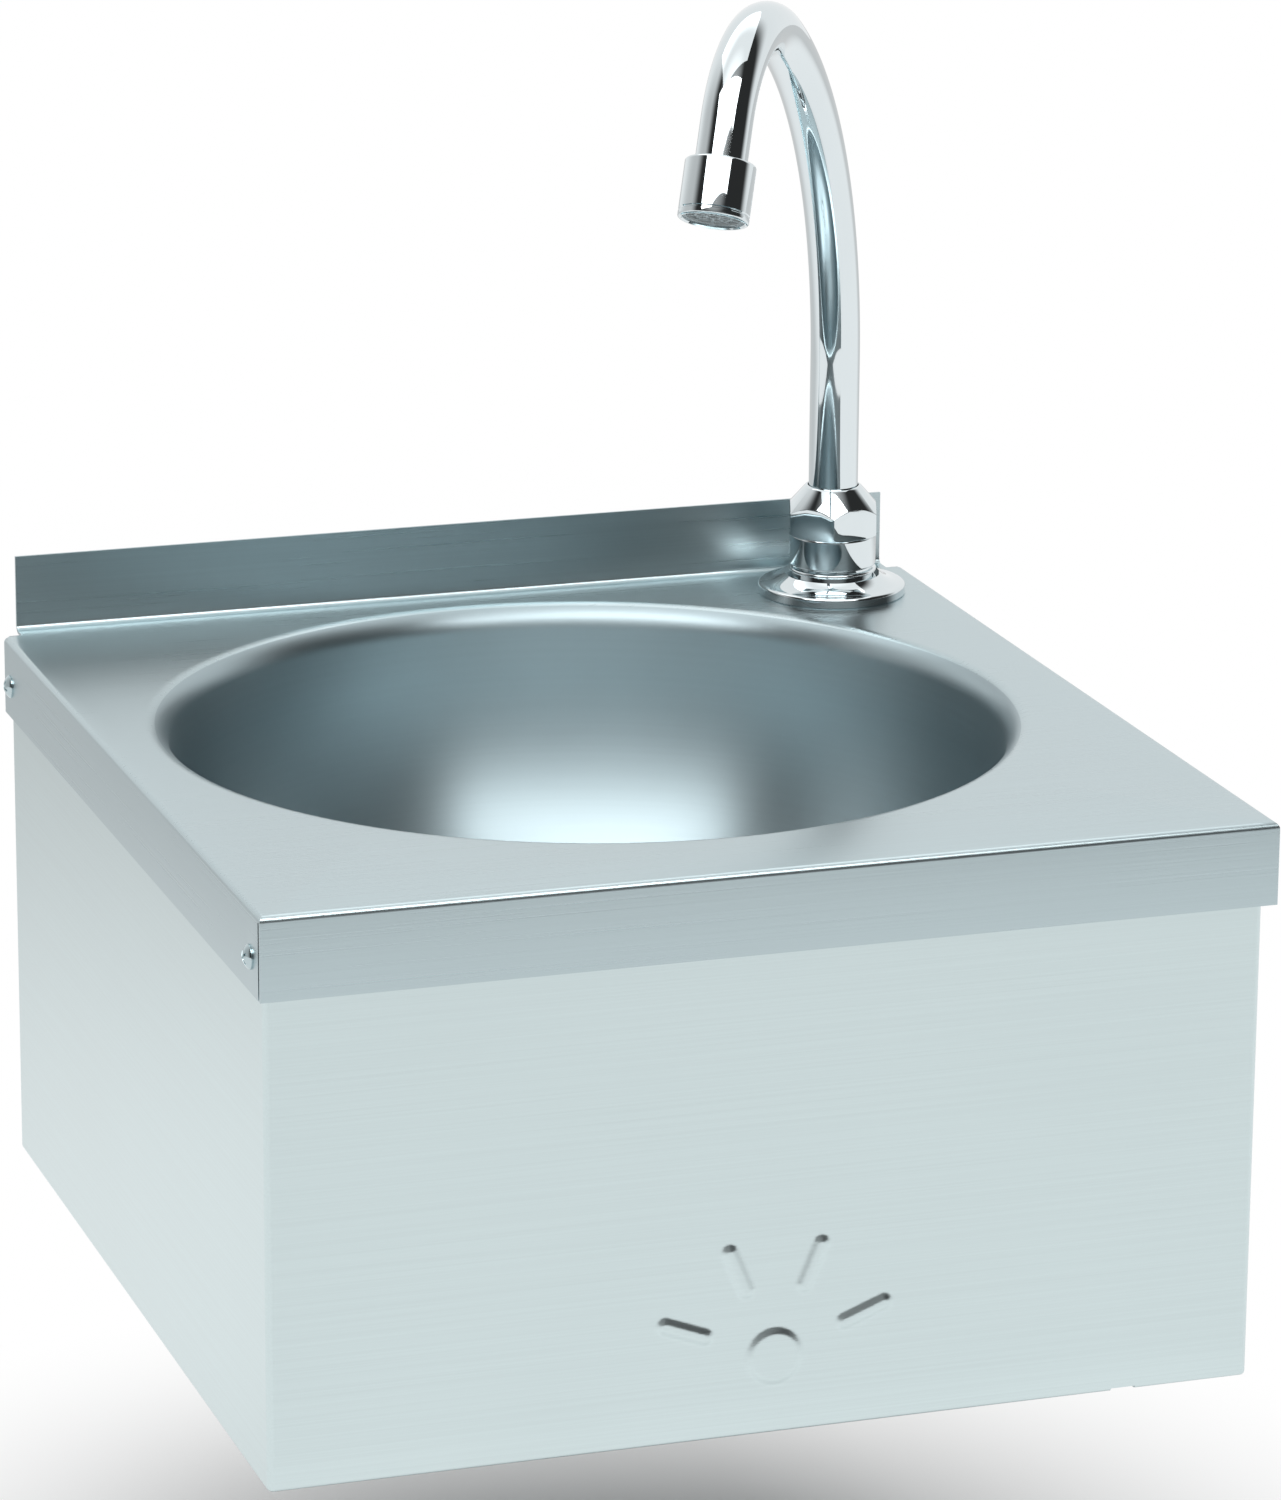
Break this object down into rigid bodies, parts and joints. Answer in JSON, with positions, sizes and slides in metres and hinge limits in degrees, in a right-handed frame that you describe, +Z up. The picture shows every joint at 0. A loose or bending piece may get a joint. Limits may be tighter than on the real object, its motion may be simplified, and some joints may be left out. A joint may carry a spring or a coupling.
{
  "type": "hand basin",
  "caption": "Wall-hung stainless hand basin with a round bowl, a swinging knee-push skirt that works a self-closing valve, and a chrome swan-neck tap.",
  "frame": {"origin": "centre of the four wall fixing holes, on the wall", "axes": "+Z up, +Y towards the wall, front faces -Y, +X to the right seen from the front"},
  "size_m": [0.4056, 0.414, 0.52],
  "materials": {
    "stainless": "fine straight brushing",
    "chrome": "bright polished plating",
    "brass": "turned, dull",
    "copper": "drawn tube, slightly tarnished",
    "spring_steel": "drawn wire",
    "rubber": "matt",
    "nylon": "moulded, natural white",
    "insert_plastic": "moulded grid, pale grey"
  },
  "bodies": {
    "basin": {"basin_top": "stainless", "bowl": "stainless", "back_plate": "stainless", "valve_tray": "stainless", "waste_flange": "stainless", "waste_screw": "stainless", "guide_screws": "stainless", "guide_nuts": "stainless", "guide_washers": "stainless", "tray_studs": "stainless", "tray_nuts": "stainless", "tap_washer": "stainless", "tap_flange": "chrome", "tap_body": "chrome", "spout_nut": "chrome", "valve_body": "brass", "valve_bonnet": "brass", "valve_locknut": "brass", "inlet_nipple": "brass", "pipe_nut_valve": "brass", "pipe_nut_tap": "brass", "tap_locknut": "brass", "supply_pipe": "copper", "waste_gasket": "rubber", "waste_seal": "rubber", "tap_gasket": "rubber", "spout_seals": "rubber", "inlet_washer": "rubber", "guide_bushes": "nylon", "waste_tail": "nylon"},
    "skirt": {"skirt": "stainless", "striker_block": "stainless", "striker_pad": "rubber"},
    "plunger": {"valve_plunger": "brass", "plunger_button": "chrome", "valve_spring": "spring_steel"},
    "spout": {"spout_tube": "chrome", "spout_collar": "brass", "aerator_housing": "chrome", "aerator_washer": "rubber", "aerator_insert": "insert_plastic"}
  },
  "joints": [
    {"name": "skirt_swing", "type": "hinge", "parent": "basin", "child": "skirt", "pos_m": [0, -0.4, 0.091], "axis": [1, 0, 0], "range_deg": [0, 1.3]},
    {"name": "plunger_push", "type": "slide", "parent": "basin", "child": "plunger", "axis": [0, 1, 0], "range_m": [0, 0.004], "stiffness_N_per_m": 900, "deforming": ["valve_spring"]},
    {"name": "spout_swivel", "type": "hinge", "parent": "basin", "child": "spout", "pos_m": [0.1559, -0.0407, 0.11], "axis": [0, 0, 1], "range_deg": [-50, 120]}
  ],
  "couplings": [
    {"joint": "plunger_push", "follows": "skirt_swing", "m_per_rad": 0.176}
  ]
}
